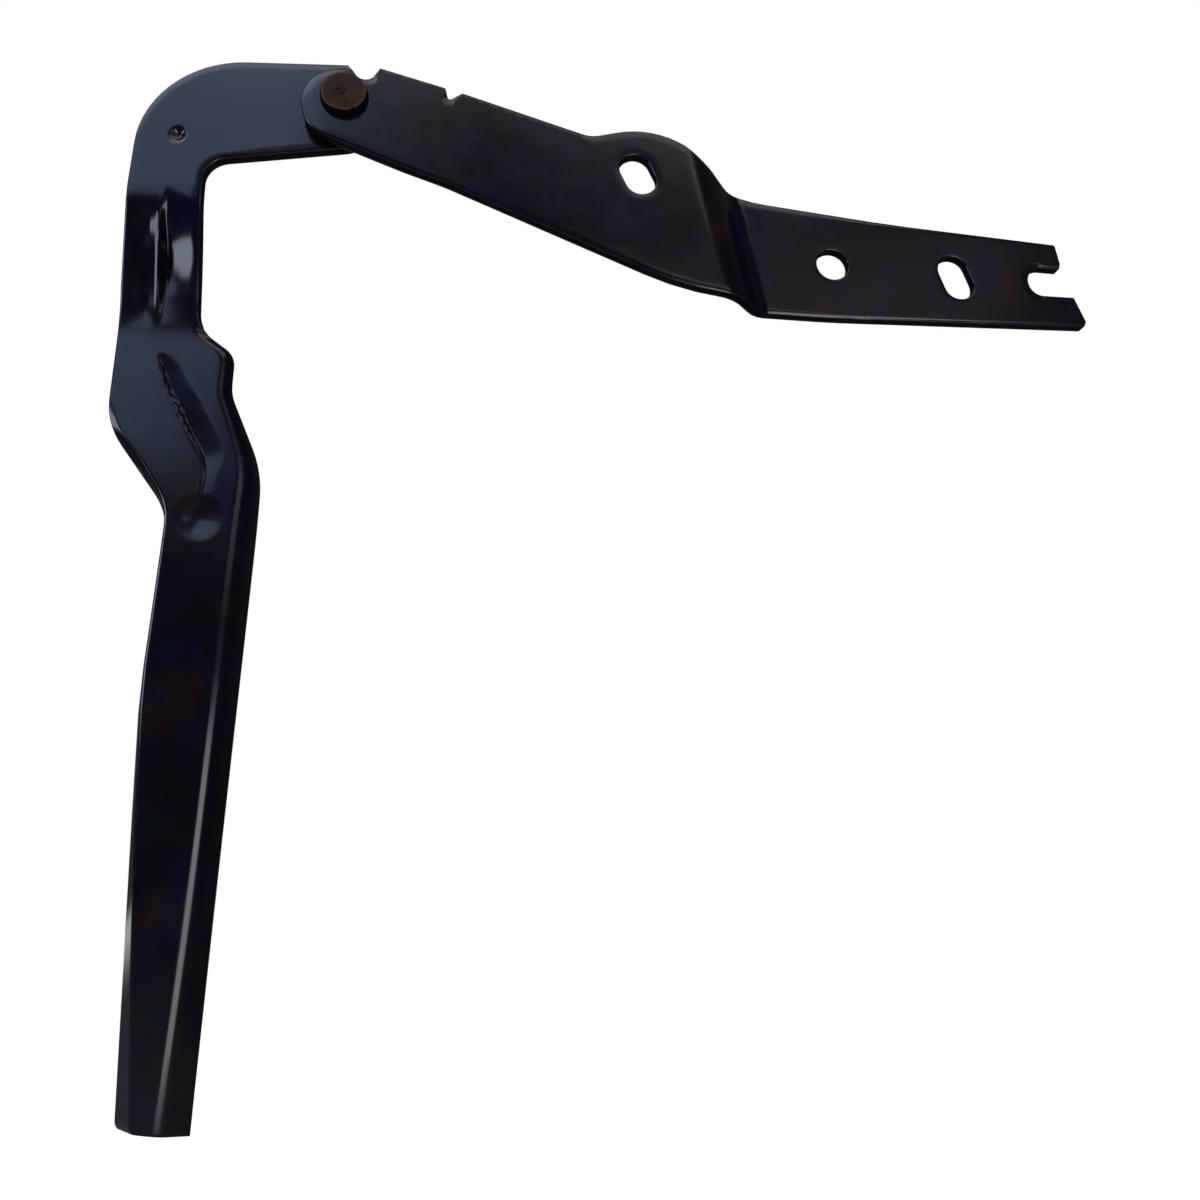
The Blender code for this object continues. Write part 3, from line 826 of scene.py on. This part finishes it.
def at_level(rows, level):
    """The numbers of a table at a level, on smooth curves through its rows."""
    last = len(rows) - 1
    index = next((i for i in range(last) if level >= rows[i + 1][0]), last - 1)
    first, second = rows[index], rows[index + 1]
    span = second[0] - first[0]
    share = min(max((level - first[0]) / span, 0), 1)
    before, after = rows[max(index - 1, 0)], rows[min(index + 2, last)]
    found = []
    for column in range(1, len(first)):
        start, end = first[column], second[column]
        rise_in = (end - before[column]) / (second[0] - before[0]) * span
        rise_out = (after[column] - start) / (after[0] - first[0]) * span
        cube, square = share ** 3, share ** 2
        found.append((2 * cube - 3 * square + 1) * start + (cube - 2 * square + share) * rise_in
                     + (3 * square - 2 * cube) * end + (cube - square) * rise_out)
    return found


def pressed_depth(spot, spread):
    """How deep the trough, the dish and the marks press in at a spot, their walls spread out."""
    depth = 0.0
    level = spot.y
    if TROUGH[-1][0] < level < TROUGH[0][0]:
        edge, deep, wall, rise, hollow = at_level(TROUGH, level)
        lean = (at_level(TROUGH, level + SLOPE_STEP)[0] - edge) / SLOPE_STEP
        aside = (spot.x - edge) / sqrt(1 + lean * lean)
        deep = max(deep, 0)
        fall = ramp(-spread, wall + spread, aside)
        left_over = 1 - min(max((aside - wall) / (rise + spread), 0), 1)
        depth += deep * fall * left_over ** hollow
        lip = ramp(-LIP_WIDTH - spread, 0, aside) * (1 - ramp(0, wall, aside))
        depth -= deep * LIP_SHARE * lip
        if DISH[-1][0] < level < DISH[0][0]:
            across = blend(-DISH_WIDTH, -DISH_MIDDLE, aside) * (1 - ramp(-DISH_MIDDLE, spread, aside))
            depth += max(at_level(DISH, level)[0], 0) * across
    for middle, radius, deep in ROUND_MARKS:
        away = hypot(spot.x - middle[0], level - middle[1])
        if away < radius + spread:
            depth += deep * (1 - blend(0, radius + spread, away))
    return depth


def roll_depth(away):
    """How far the front rolls back at a distance from a sheared edge."""
    return ROLL_DEPTH * max(1 - away / ROLL_WIDTH, 0) ** 2


def bent_strip(radius, length, angle, corner, share):
    """How far aside and back the strip beyond the web lies, its front corner sharper than its bend."""
    lead = (radius - corner) * tan(angle / 2)
    bend = corner * angle
    whole = 2 * lead + bend + length
    along = whole if share > 1 - 0.5 / RIM_STEPS else share * (whole - RIM_ROOM)
    turn = min(max(along - lead, 0), bend) / corner
    beyond = max(along - lead - bend, 0)
    lateral = min(along, lead) + corner * sin(turn) + beyond * cos(angle)
    return lateral, corner * (1 - cos(turn)) + beyond * sin(angle)


def cross_section(station, outline, shares):
    """Across one station, before anything is pressed in: the sheet's points, its front and its roll."""
    centre, ahead = station
    aside = Vector((-ahead.y, ahead.x))
    low, high = reach_to(outline, centre, aside)
    radius, length, degrees_bent = at_level(FLANGE, centre.y)
    fall = blend(TIP + TIP_SLANT_REACH, TIP, centre.y)
    found = []
    for share in shares:
        right = share > 0
        angle = radians(max(degrees_bent, 0)) * (1 if right else blend(LEFT_START, LEFT_FULL, centre.y))
        edge = high if right else -low
        web = edge - bent_strip(radius, length, angle, radius, 1)[0]
        spots = []
        for corner in (radius, radius if right else LEFT_CORNER):
            strip, back = bent_strip(radius, length, angle, corner, max(abs(share) - 1, 0))
            lateral = web * min(abs(share), 1) + strip
            spot = centre + aside * (lateral if right else -lateral)
            joggle = step_depth(JOGGLE_TOP - spot.y, ARM_JOGGLE, JOGGLE_ANGLE, JOGGLE_RADIUS,
                                JOGGLE_END_RADIUS)
            drop = (TIP_SLANT * (spot.x - centre.x) + TIP_LEAN * back) * fall
            spots.append(Vector((spot.x, ARM_FRONT + joggle + back, spot.y - drop)))
        flatness = max(1 - angle / UNROLLED, 0)
        found.append((*spots, roll_depth(edge - lateral) * flatness))
    return found


def soft_rim(front, back, wide):
    """Rounds off the rim between a sheet's front and back points, and gives the rim's rings."""
    count = len(front)
    loop = list(range(wide - 1)) + list(range(wide - 1, count - 1, wide))
    loop += list(range(count - 1, count - wide, -1)) + list(range(count - wide, 0, -wide))
    fronts, backs = [], []
    for index in loop:
        row, column = divmod(index, wide)
        beside = {0: 1, wide - 1: -1}.get(column, 0)
        beyond = {0: wide, count // wide - 1: -wide}.get(row, 0)
        outward = Vector()
        for step in (beside, beyond):
            if step:
                outward += (front[index] - front[index + step]).normalized()
        through = (back[index] - front[index]).normalized()
        fronts.append((index, front[index].copy(), outward * EDGE_ROUNDING, through * EDGE_ROUNDING))
        backs.append((index, back[index].copy(), outward * EDGE_ROUNDING, -through * EDGE_ROUNDING))
    rings = []
    for side in (fronts, backs):
        for step in range(1, EDGE_SEGMENTS + 1):
            angle = pi / 2 * step / EDGE_SEGMENTS
            rings.append([spot - outward * (1 - sin(angle)) + through * (1 - cos(angle))
                          for index, spot, outward, through in side])
    for side, points in ((fronts, front), (backs, back)):
        for index, spot, outward, through in side:
            points[index] = spot - outward
    return loop, rings[:EDGE_SEGMENTS] + rings[:EDGE_SEGMENTS - 1:-1]


def sheet_points(rows):
    """The arm's front points row by row, then its back points, a plate's thickness behind."""
    front, back = [], []
    for row, points in enumerate(rows):
        above, below = rows[max(row - 1, 0)], rows[min(row + 1, len(rows) - 1)]
        for column, (point, shown, roll) in enumerate(points):
            left = points[max(column - 1, 0)][0]
            right = points[min(column + 1, len(points) - 1)][0]
            normal = (right - left).cross(below[column][0] - above[column][0]).normalized()
            if normal.y < 0:
                normal = -normal
            spot = Vector((point.x, point.z))
            front.append(shown + Vector((0, pressed_depth(spot, 0) + roll, 0)))
            back.append(point + normal * PLATE + Vector((0, pressed_depth(spot, BACK_SPREAD), 0)))
    return front, back


def sheet_mesh(name, rows):
    """A closed sheet through its cross sections, with the second finish on its sheared edge."""
    front, back = sheet_points(rows)
    wide, behind = len(rows[0]), len(front)
    loop, rings = soft_rim(front, back, wide)
    faces = [(first, first + wide, first + wide + 1, first + 1)
             for row in range(len(rows) - 1) for first in range(row * wide, (row + 1) * wide - 1)]
    faces += [tuple(behind + corner for corner in reversed(face)) for face in faces]
    places = front + back
    numbers = [loop]
    for ring in rings:
        numbers.append(list(range(len(places), len(places) + len(ring))))
        places += ring
    numbers.append([behind + index for index in loop])
    sheared = []
    for level, (near, far) in enumerate(zip(numbers, numbers[1:])):
        if level == EDGE_SEGMENTS:
            sheared = range(len(faces), len(faces) + len(loop))
        for place in range(len(loop)):
            after = (place + 1) % len(loop)
            faces.append((near[place], near[after], far[after], far[place]))
    mesh = bpy.data.meshes.new(name)
    mesh.from_pydata(places, [], faces)
    for index in sheared:
        mesh.polygons[index].material_index = 1
    return mesh


def make_arm(finishes):
    """The gooseneck arm: a limb from the rivet round to a long tongue with both edges bent back."""
    half = [step / WEB_STEPS for step in range(1, WEB_STEPS + 1)]
    half += [1 + step / RIM_STEPS for step in range(1, RIM_STEPS + 1)]
    shares = [-share for share in reversed(half)] + [0] + half
    outline = rounded(ARM_CORNERS)
    rows = [cross_section(station, outline, shares)
            for station in stations_along(rounded(ARM_SPINE, closed=False))]
    arm = new_object("painted_arm", sheet_mesh("painted_arm", rows), finishes)
    normal = Vector((cos(ARM_STOP_ANGLE), sin(ARM_STOP_ANGLE)))
    along = Vector((-normal.y, normal.x))
    foot = normal * ARM_STOP_DISTANCE
    corners = [(1, 0), (-1, 0), (-1, 1), (1, 1)]
    waste = [foot + along * WASTE_SIZE * side + normal * WASTE_SIZE * out for side, out in corners]
    combine(arm, prism("stop_face", waste, 0, MOUNT_FACE, finishes), "DIFFERENCE")
    bush_hole = BUSH_RADIUS + CLEARANCE
    bore = stadium((0, 0), bush_hole * 2, bush_hole * 2)
    combine(arm, prism("bush_hole", bore, 0, MOUNT_FACE, finishes), "DIFFERENCE")
    dress(arm, "black_paint", "arm_body", "gooseneck_arm")


def turned_mesh(name, profile):
    """A body turned about the rivet's axis. The profile gives radius and depth, the front end first."""
    mesh = bpy.data.meshes.new(name)
    lathe = bmesh.new()
    closed = profile[0][0] > 0
    spots = [lathe.verts.new((radius, depth, 0)) for radius, depth in profile]
    edges = [lathe.edges.new(pair) for pair in zip(spots, spots[1:])]
    if closed:
        edges.append(lathe.edges.new((spots[-1], spots[0])))
    bmesh.ops.spin(lathe, geom=spots + edges, axis=(0, 1, 0), cent=(0, 0, 0), angle=2 * pi,
                   steps=TURNED_STEPS, use_merge=True)
    bmesh.ops.remove_doubles(lathe, verts=lathe.verts, dist=NEAR)
    bmesh.ops.recalc_face_normals(lathe, faces=lathe.faces)
    lathe.to_mesh(mesh)
    lathe.free()
    return mesh


def make_rivet(finishes):
    """The pivot rivet: a raised round head in front, a shank and a peened tail behind."""
    rivet = new_object("painted_rivet", turned_mesh("painted_rivet", rounded(RIVET_CORNERS)), finishes)
    for vertex in rivet.data.vertices:
        across, upward = vertex.co.x, vertex.co.z
        if vertex.co.y < 0 and hypot(across, upward) > HEAD_RADIUS - HEAD_LIP:
            turn = atan2(upward, across)
            waves = sum(share * sin(count * turn + start) for count, start, share in LIP_WAVES)
            nick = NICK_DEPTH * (1 - blend(0, NICK_REACH, abs(turn - NICK_TURN)))
            shrink = 1 + (LIP_WAVE_HEIGHT * waves - nick) / HEAD_RADIUS
            vertex.co.x, vertex.co.z = across * shrink, upward * shrink
    # Painted shade: the side of the head takes the black, glossless sheared-edge paint instead of the
    # brown rivet paint.
    for face in rivet.data.polygons:
        beyond_lip = hypot(face.center.x, face.center.z) > HEAD_RADIUS - HEAD_LIP
        if face.center.y < 0 and abs(face.normal.y) < HEAD_STEEPNESS and beyond_lip:
            face.material_index = 1
    dress(rivet, "painted_rivet_steel", "bracket_body", "pivot_rivet")


def make_ring(name, node, body, radius, front, thickness, finish, slot):
    """A washer or sleeve on the rivet's shank, with softened edges."""
    back = front + thickness
    corners = [(radius, front, RING_ROUNDING), (radius, back, RING_ROUNDING),
               (SHANK_HOLE, back, BORE_ROUNDING), (SHANK_HOLE, front, BORE_ROUNDING)]
    ring = new_object(name, turned_mesh(name, rounded(corners)), [finish])
    dress(ring, slot, body, node)


def paint_finish(colours):
    """Dipped black paint: glossy, with orange peel, cloudy gloss and faint blue and brown tints."""
    paint = Finish("black_paint", specular=0.5)
    colour = tuple(colours.paint)
    for scale, low, high, share, tint in PAINT_TINTS:
        colour = paint.tint(paint.patches(scale, low, high, detail=2) * share, colour, tint)
    cloudy = paint.patches(28, low=0.35, high=0.65)
    fine = paint.patches(160, low=0.40, high=0.60)
    paint.set(Base_Color=colour, Roughness=colours.paint_roughness + 0.04 * cloudy + 0.02 * fine)
    paint.bump(paint.noise(900, detail=2), distance=0.00002, strength=0.25)
    return paint.material


def edge_finish(colours):
    """The rough sheared edges, which hold the paint thinly and without gloss."""
    edge = Finish("sheared_edge", specular=0.08)
    base = Vector(colours.paint)
    torn = edge.patches(500, low=0.40, high=0.62)
    edge.set(Base_Color=edge.tint(torn, base * 0.6, base * 1.4), Roughness=0.55 + 0.2 * torn)
    edge.bump(edge.noise(1200), distance=0.00006, strength=0.6)
    return edge.material


def sheet_finishes(colours):
    """The paint on the faces of a pressed sheet and on its sheared edges."""
    return [paint_finish(colours), edge_finish(colours)]


def rivet_finish(colours):
    """Thin brownish black paint over a pressed steel head, with a painted highlight round its lip and a
    comma of a dent in its middle that is painted dark as shade.
    """
    steel = Finish("rivet_paint", specular=0.07)
    base = Vector(colours.rivet)
    worn = steel.patches(220, low=0.42, high=0.62)
    across = steel.part_of(steel.place, 0) - (AXIS.x + COMMA[0])
    upward = steel.part_of(steel.place, 2) - (AXIS.z + COMMA[1])
    away = steel.math("SQRT", across * across + upward * upward)
    out_x, out_z = across + COMMA[0], upward + COMMA[1]
    outward = steel.math("SQRT", out_x * out_x + out_z * out_z)
    # Painted highlight: the rounded lip round the head is painted lighter, standing in for the light it
    # catches.
    rim = steel.stepped(outward, HEAD_RADIUS - HEAD_LIP, HEAD_RADIUS - HEAD_TAPER)
    dent = 1 - steel.stepped(away, COMMA_REACH * 0.25, COMMA_REACH)
    ring = 1 - steel.stepped(steel.math("ABSOLUTE", away - COMMA_RING), 0.0, COMMA_REACH * 0.4)
    open_side = steel.stepped(across - upward, -COMMA_REACH, COMMA_REACH * 0.5)
    dent_and_shade = (dent + ring * open_side).held()
    paint = steel.tint(worn, base, base * 1.5)
    paint = steel.tint(rim * 0.9, paint, base * 3.2)
    # Painted shade: the dent and its ring are darkened in the colour, besides being pressed in by the
    # bump.
    steel.set(Base_Color=steel.tint(dent_and_shade * 0.9, paint, base * 0.15), Roughness=0.42 + 0.12 * worn)
    steel.bump(steel.noise(500) - dent_and_shade, distance=0.00008, strength=0.5)
    return steel.material


def metal_finish(name, colour, roughness):
    """Bare or plated metal with faint stains and turning marks."""
    metal = Finish(name, metallic=1.0)
    base = Vector(colour)
    stained = metal.patches(240, low=0.40, high=0.62)
    metal.set(Base_Color=metal.tint(stained, base, base * 0.72), Roughness=roughness + 0.15 * stained)
    metal.bump(metal.noise(1500, detail=2), distance=0.00001, strength=0.6)
    return metal.material


def facing(place, target):
    """The turn that points a lamp or a camera from its place to a target."""
    return (Vector(target) - Vector(place)).to_track_quat("-Z", "Y").to_euler()


def direction(azimuth, elevation):
    """A direction seen from the hinge: azimuth 0 is towards the viewer, and left is negative."""
    across, up = radians(azimuth), radians(elevation)
    return Vector((sin(across) * cos(up), -cos(across) * cos(up), sin(up)))


def soft_box(name, azimuth, elevation, distance, width, height, radiance, colour):
    """A rectangular soft lamp in a direction from the hinge, as bright as its radiance says."""
    lamp = bpy.data.lights.new(name, "AREA")
    lamp.shape = "RECTANGLE"
    lamp.size, lamp.size_y = width, height
    lamp.energy = radiance * pi * width * height
    lamp.color = colour
    made = new_object(name, lamp)
    made.location = STUDIO_MIDDLE + direction(azimuth, elevation) * distance
    made.rotation_euler = facing(made.location, STUDIO_MIDDLE)


def make_floor(level):
    """A plain pale floor, well below the hinge, that keeps its shadow."""
    mesh = bpy.data.meshes.new("studio_floor")
    sides = [(-1, -1), (1, -1), (1, 1), (-1, 1)]
    corners = [(FLOOR_REACH * x, FLOOR_REACH * y, level) for x, y in sides]
    mesh.from_pydata(corners, [], [(0, 1, 2, 3)])
    pale = Finish("pale_floor", roughness=0.9, specular=0.1)
    pale.set(Base_Color=FLOOR_COLOUR, Emission_Strength=1.0)
    away = pale.node("ShaderNodeVectorMath", {"operation": "LENGTH"}, pale.place, output="Value")
    behind = pale.stepped(pale.part_of(pale.place, 1), *WHITE_BEHIND)
    camera, gloss = pale.seen()
    lift = FLOOR_LIFT + (1.0 - FLOOR_LIFT) * pale.stepped(away, *WHITE_FROM_MIDDLE)
    pale.set(Emission_Color=pale.tint(lift * (camera + gloss * behind).held(), (0, 0, 0), (1, 1, 1)))
    floor = new_object("studio_floor", mesh, [pale.material])


def make_world(level):
    """Dim light from all round, white where the camera looks and where a gloss shows what is behind."""
    world = bpy.data.worlds.new("studio")
    world.use_nodes = True
    bpy.context.scene.world = world
    sky = Shader(world.node_tree)
    background = sky.tree.nodes["Background"]
    looking = sky.node("ShaderNodeTexCoord", {}, output="Generated")
    behind = sky.stepped(sky.part_of(looking, 1), *WORLD_BEHIND)
    camera, gloss = sky.seen()
    white = sky.tint((camera + gloss * behind).held(), (level, level, level), (1, 1, 1))
    sky.feed(background.inputs["Color"], white)


def make_camera():
    """The camera at the photograph's place."""
    camera = bpy.data.cameras.new("camera")
    camera.lens = CAMERA_LENS
    camera.clip_start = CAMERA_NEAR
    made = new_object("camera", camera)
    flat = cos(CAMERA_ELEVATION)
    ahead = Vector((sin(CAMERA_AZIMUTH) * flat, cos(CAMERA_AZIMUTH) * flat, sin(CAMERA_ELEVATION)))
    made.location = CAMERA_PLACE
    made.rotation_euler = facing(CAMERA_PLACE, Vector(CAMERA_PLACE) + ahead)
    bpy.context.scene.camera = made


class HINGE_OT_bracket(bpy.types.Operator):
    """Builds the painted body bracket"""
    bl_idname = "hinge.bracket"
    bl_label = "Body bracket"

    def execute(self, context):
        make_bracket(sheet_finishes(context.scene.hinge_finish))
        return {"FINISHED"}


class HINGE_OT_arm(bpy.types.Operator):
    """Builds the painted gooseneck arm"""
    bl_idname = "hinge.arm"
    bl_label = "Gooseneck arm"

    def execute(self, context):
        make_arm(sheet_finishes(context.scene.hinge_finish))
        return {"FINISHED"}


class HINGE_OT_pivot(bpy.types.Operator):
    """Builds the rivet, the bush and both washers"""
    bl_idname = "hinge.pivot"
    bl_label = "Rivet, bush and washers"

    def execute(self, context):
        colours = context.scene.hinge_finish
        make_rivet([rivet_finish(colours), edge_finish(colours)])
        plated = metal_finish("zinc_plating", colours.plating, roughness=0.30)
        bronze = metal_finish("sintered_bronze", colours.bronze, roughness=0.38)
        make_ring("turned_bush", "pivot_bush", "arm_body", BUSH_RADIUS, ARM_FRONT, PLATE,
                  bronze, "bush_bronze")
        make_ring("front_washer", "spacer_washer", "bracket_body", SPACER_RADIUS, SPACER_FRONT,
                  SPACER_THICKNESS, plated, "plated_steel")
        make_ring("rear_washer", "backing_washer", "bracket_body", BACKING_RADIUS, BACKING_FRONT,
                  BACKING_THICKNESS, plated, "plated_steel")
        return {"FINISHED"}


class HINGE_OT_stage(bpy.types.Operator):
    """Sets up the floor, the lamps, the world and the camera"""
    bl_idname = "hinge.stage"
    bl_label = "Studio"

    def execute(self, context):
        studio = context.scene.hinge_studio
        make_camera()
        make_world(studio.world_level)
        make_floor(AXIS.z + TIP - studio.floor_drop)
        for name, (azimuth, elevation, distance, width, height, setting, colour) in LAMPS.items():
            level = getattr(studio, setting)
            soft_box(name, azimuth, elevation, distance, width, height, level, colour)
        return {"FINISHED"}


class HINGE_PT_panel(bpy.types.Panel):
    """Lists the hinge's pieces, finishes and studio"""
    bl_label = "Bonnet hinge"
    bl_space_type = "VIEW_3D"
    bl_region_type = "UI"
    bl_category = "Hinge"

    def draw(self, context):
        for settings in (context.scene.hinge_finish, context.scene.hinge_studio):
            for name in settings.bl_rna.properties.keys():
                if name not in ("rna_type", "name"):
                    self.layout.prop(settings, name)
        for step in STEPS:
            self.layout.operator(step.bl_idname)


STEPS = (HINGE_OT_stage, HINGE_OT_bracket, HINGE_OT_arm, HINGE_OT_pivot)
CLASSES = (HingeFinish, HingeStudio) + STEPS + (HINGE_PT_panel,)


def register():
    for kind in CLASSES:
        bpy.utils.register_class(kind)
    bpy.types.Scene.hinge_finish = PointerProperty(type=HingeFinish)
    bpy.types.Scene.hinge_studio = PointerProperty(type=HingeStudio)


def unregister():
    del bpy.types.Scene.hinge_studio
    del bpy.types.Scene.hinge_finish
    for kind in reversed(CLASSES):
        bpy.utils.unregister_class(kind)


def main():
    """Builds the hinge and its studio."""
    register()
    bpy.context.scene.view_settings.view_transform = "Standard"
    for step in STEPS:
        group, name = step.bl_idname.split(".")
        getattr(getattr(bpy.ops, group), name)()
    bpy.context.view_layer.update()


if __name__ == "__main__":
    main()
